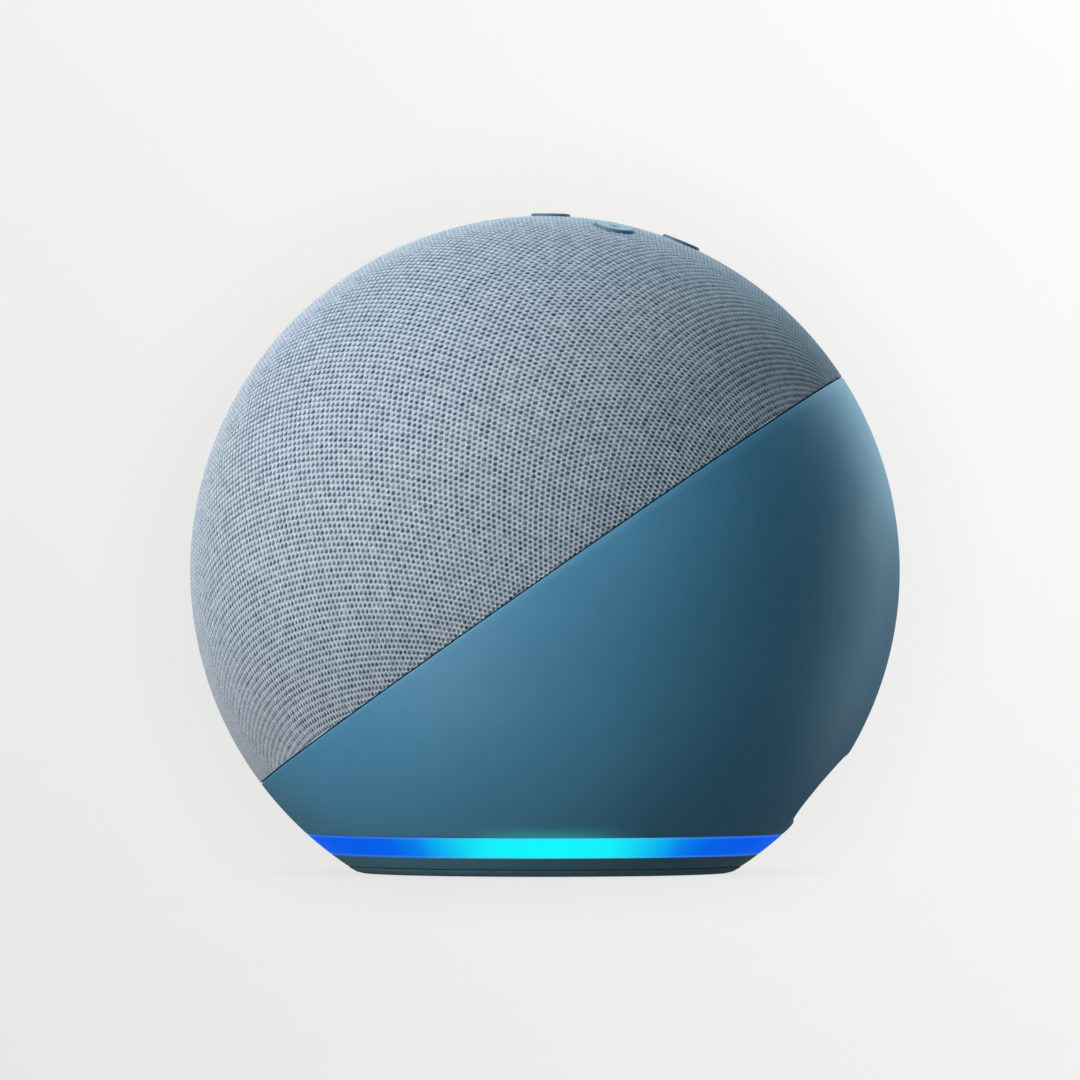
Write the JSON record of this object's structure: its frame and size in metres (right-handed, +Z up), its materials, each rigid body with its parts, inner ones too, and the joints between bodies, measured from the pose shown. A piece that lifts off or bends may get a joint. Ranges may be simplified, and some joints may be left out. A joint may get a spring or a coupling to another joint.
{
  "type": "smart speaker",
  "caption": "Ball-shaped voice speaker with a knit-covered driver side, smooth rear shell with a port bay, light ring, flat base and top push buttons.",
  "frame": {"origin": "middle of the rubber foot's underside, on the surface the speaker stands on", "axes": "+Z up; -Y is the front, where the drivers face, tilted 35 degrees forward of straight up; +Y is the rear, with the port bay; +X is the right side seen from the front, the side with the volume-up button"},
  "size_m": [0.144, 0.144, 0.1337],
  "materials": {
    "fabric_knit": "open knit, matt",
    "grille_plastic": "perforated, matt",
    "shell_plastic": "satin",
    "light_guide": "frosted light guide",
    "base_plastic": "matt",
    "foot_rubber": "matt",
    "insert_brass": "machined",
    "circuit_board": "solder mask",
    "button_plastic": "satin",
    "inner_plastic": "matt",
    "zinc_steel": "zinc plated",
    "ferrite": "sintered, matt",
    "spreader_aluminium": "stamped",
    "cone_paper": "pressed pulp",
    "surround_rubber": "matt",
    "spider_cloth": "resin-treated cloth",
    "coil_copper": "enamelled copper wire",
    "dome_film": "pressed film",
    "flex_film": "polyimide film",
    "cable_jacket": "matt"
  },
  "bodies": {
    "housing": {"fabric_cover": "fabric_knit", "grille_dome": "grille_plastic", "rear_housing": "shell_plastic", "light_ring": "light_guide", "base_plate": "base_plastic", "rubber_foot": "foot_rubber", "thread_insert": "insert_brass", "led_ring_board": "circuit_board", "control_board": "circuit_board", "main_board": "circuit_board", "io_board": "circuit_board", "driver_baffle": "inner_plastic", "speaker_tub": "inner_plastic", "left_tweeter_frame": "inner_plastic", "right_tweeter_frame": "inner_plastic", "power_jack": "inner_plastic", "audio_jack": "inner_plastic", "action_switch": "zinc_steel", "volume_up_switch": "zinc_steel", "mic_off_switch": "zinc_steel", "volume_down_switch": "zinc_steel", "woofer_basket": "zinc_steel", "woofer_top_plate": "zinc_steel", "woofer_yoke": "zinc_steel", "base_screw_1": "zinc_steel", "base_screw_2": "zinc_steel", "base_screw_3": "zinc_steel", "control_screw_1": "zinc_steel", "control_screw_2": "zinc_steel", "woofer_screw_1": "zinc_steel", "woofer_screw_2": "zinc_steel", "woofer_screw_3": "zinc_steel", "woofer_screw_4": "zinc_steel", "baffle_screw_1": "zinc_steel", "baffle_screw_2": "zinc_steel", "baffle_screw_3": "zinc_steel", "baffle_screw_4": "zinc_steel", "woofer_magnet": "ferrite", "left_tweeter_magnet": "ferrite", "right_tweeter_magnet": "ferrite", "heat_spreader": "spreader_aluminium", "woofer_surround": "surround_rubber", "woofer_spider": "spider_cloth", "left_tweeter_dome": "dome_film", "right_tweeter_dome": "dome_film", "control_ribbon": "flex_film", "woofer_lead": "cable_jacket", "left_tweeter_lead": "cable_jacket", "right_tweeter_lead": "cable_jacket"},
    "action_button": {"action_button": "button_plastic", "action_plunger": "inner_plastic"},
    "volume_up_button": {"volume_up_button": "button_plastic", "volume_up_plunger": "inner_plastic"},
    "mic_off_button": {"mic_off_button": "button_plastic", "mic_off_plunger": "inner_plastic"},
    "volume_down_button": {"volume_down_button": "button_plastic", "volume_down_plunger": "inner_plastic"},
    "woofer_motion": {"woofer_cone": "cone_paper", "woofer_dust_cap": "cone_paper", "woofer_voice_coil": "coil_copper"}
  },
  "joints": [
    {"name": "action_press", "type": "slide", "parent": "housing", "child": "action_button", "axis": [0, -0.0166, -0.9999], "range_m": [0, 0.0005], "stiffness_N_per_m": 1500},
    {"name": "volume_up_press", "type": "slide", "parent": "housing", "child": "volume_up_button", "axis": [-0.1874, -0.2, -0.9617], "range_m": [0, 0.0005], "stiffness_N_per_m": 1500},
    {"name": "mic_off_press", "type": "slide", "parent": "housing", "child": "mic_off_button", "axis": [0, -0.3835, -0.9235], "range_m": [0, 0.0005], "stiffness_N_per_m": 1500},
    {"name": "volume_down_press", "type": "slide", "parent": "housing", "child": "volume_down_button", "axis": [0.1874, -0.2, -0.9617], "range_m": [0, 0.0005], "stiffness_N_per_m": 1500},
    {"name": "woofer_stroke", "type": "slide", "parent": "housing", "child": "woofer_motion", "axis": [0, -0.5736, 0.8192], "range_m": [-0.002, 0.002], "stiffness_N_per_m": 1200, "deforming": ["woofer_surround", "woofer_spider"]}
  ]
}
